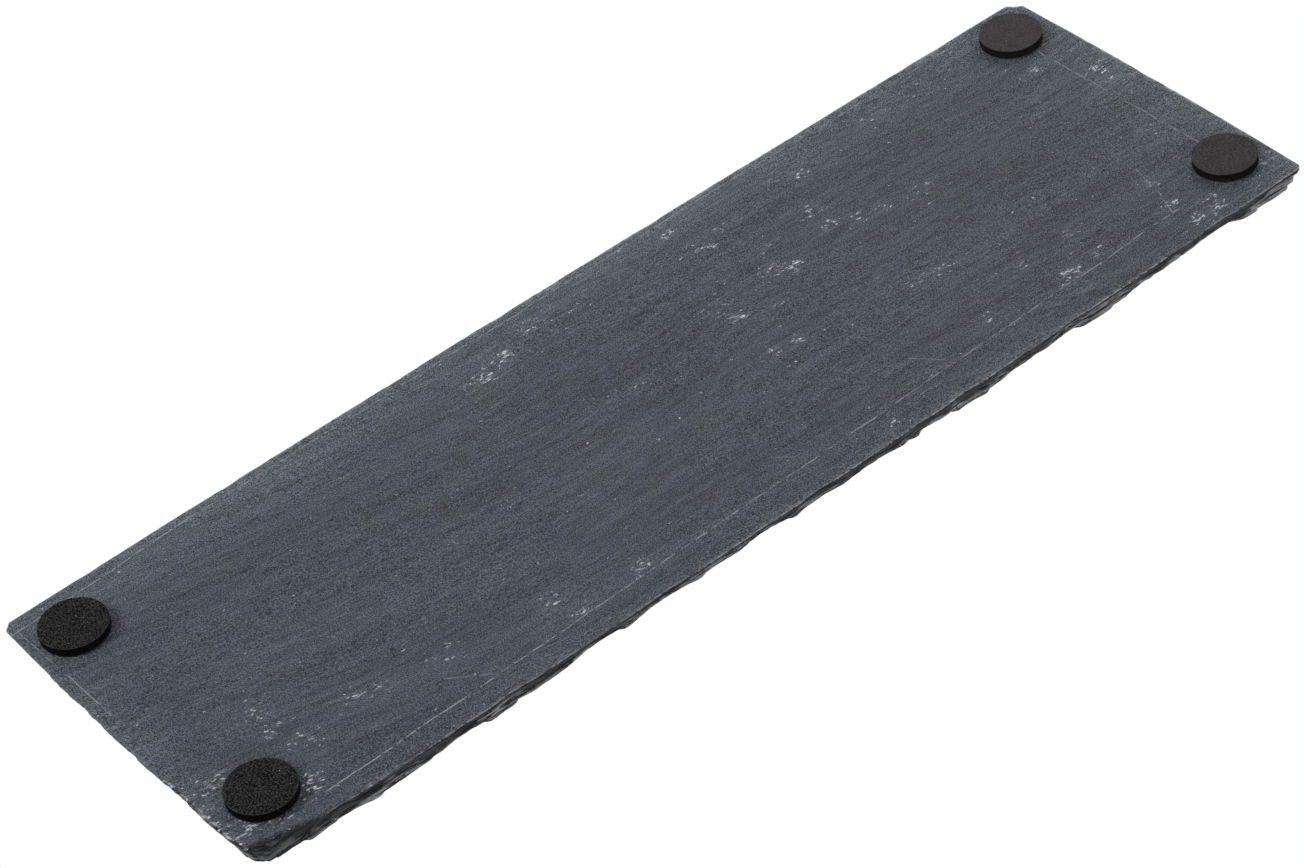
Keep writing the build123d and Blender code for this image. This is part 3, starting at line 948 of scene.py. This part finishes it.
def soft_lamp(name, place, size, share):
    """A large soft lamp aimed at the board, which gives a surface facing it that share of plain light."""
    lamp = bpy.data.lights.new(name, "AREA")
    lamp.shape = "DISK"
    lamp.size = size
    place = Vector(place)
    lamp.energy = share * math.pi**2 * place.length_squared
    holder = bpy.data.objects.new(name, lamp)
    holder.location = place
    holder.rotation_euler = (-place).to_track_quat("-Z", "Y").to_euler()
    bpy.context.scene.collection.objects.link(holder)


def light_studio():
    """White surround for the camera and in reflections, dim even light and soft lamps on both faces."""
    world = bpy.data.worlds.new("studio")
    bpy.context.scene.world = world
    world.use_nodes = True
    desk = Desk(world.node_tree)
    back = world.node_tree.nodes["Background"]
    back.inputs["Color"].default_value = WHITE
    path = desk.add("ShaderNodeLightPath").outputs
    seen = desk.math("MAXIMUM", path["Is Camera Ray"], path["Is Transmission Ray"])
    seen = desk.math("MAXIMUM", seen, path["Is Glossy Ray"])
    desk.feed(back.inputs["Strength"], desk.ramp(seen, 0.0, 1.0, EVEN_LIGHT, 1.0))
    soft_lamp("under_left", place=(-0.95, -0.45, -1.05), size=0.8, share=0.60)
    soft_lamp("under_right", place=(0.60, -0.30, -0.50), size=0.5, share=0.33)
    soft_lamp("under_back", place=(0.15, 0.80, -0.30), size=0.5, share=0.28)
    soft_lamp("over_front", place=(-0.35, -0.55, 0.80), size=0.6, share=0.60)
    soft_lamp("over_right", place=(0.60, 0.10, 0.60), size=0.6, share=0.30)


def lay_floor():
    """Pale floor that takes the shadow from above, with painted shade where something stands close above it,
    fades to white far out and can't be seen from below.
    """
    mesh = bpy.data.meshes.new("floor")
    signs = ((-1, -1), (1, -1), (1, 1), (-1, 1))
    corners = [(x * FLOOR_REACH, y * FLOOR_REACH, 0.0) for x, y in signs]
    mesh.from_pydata(corners, [], [(0, 1, 2, 3)])
    floor = bpy.data.objects.new("floor", mesh)
    bpy.context.scene.collection.objects.link(floor)
    material = bpy.data.materials.new("pale_floor")
    material.use_nodes = True
    desk = Desk(material.node_tree)
    nodes = material.node_tree.nodes
    matt = nodes["Principled BSDF"]
    # painted shade: ambient occlusion darkens the floor's colour under and around the board
    pale = {"Color": FLOOR_PALE, "Distance": FLOOR_SHADE_REACH}
    desk.feed(matt.inputs["Base Color"], desk.add("ShaderNodeAmbientOcclusion", pale).outputs["Color"])
    matt.inputs["Roughness"].default_value = 0.9
    white = desk.add("ShaderNodeEmission", {"Color": WHITE, "Strength": 1.0}).outputs[0]
    clear = desk.add("ShaderNodeBsdfTransparent").outputs[0]
    away = desk.length(desk.add("ShaderNodeTexCoord").outputs["Object"])
    lighter = desk.add("ShaderNodeMixShader", {0: desk.ramp(away, *FLOOR_FADE), 1: matt.outputs[0], 2: white})
    behind = desk.add("ShaderNodeNewGeometry").outputs["Backfacing"]
    one_sided = desk.add("ShaderNodeMixShader", {0: behind, 1: lighter.outputs[0], 2: clear})
    desk.feed(nodes["Material Output"].inputs["Surface"], one_sided.outputs[0])
    mesh.materials.append(material)
    floor.visible_shadow = False
    floor.visible_diffuse = False
    floor.visible_glossy = False
    floor.visible_transmission = False


def set_camera():
    """Camera at the photograph's viewing angle."""
    camera = bpy.data.cameras.new("camera")
    camera.lens = CAMERA_LENS
    camera.sensor_width = CAMERA_SENSOR
    camera.clip_start = CAMERA_NEAR
    holder = bpy.data.objects.new("camera", camera)
    back = CAMERA_RIGHT.cross(CAMERA_UP)
    turn = Matrix((CAMERA_RIGHT, CAMERA_UP, back)).transposed()
    holder.matrix_world = Matrix.Translation(CAMERA_PLACE) @ turn.to_4x4()
    bpy.context.scene.collection.objects.link(holder)
    bpy.context.scene.camera = holder


dress_slab()
dress_feet()
light_studio()
lay_floor()
set_camera()
bpy.context.scene.view_settings.view_transform = "Standard"
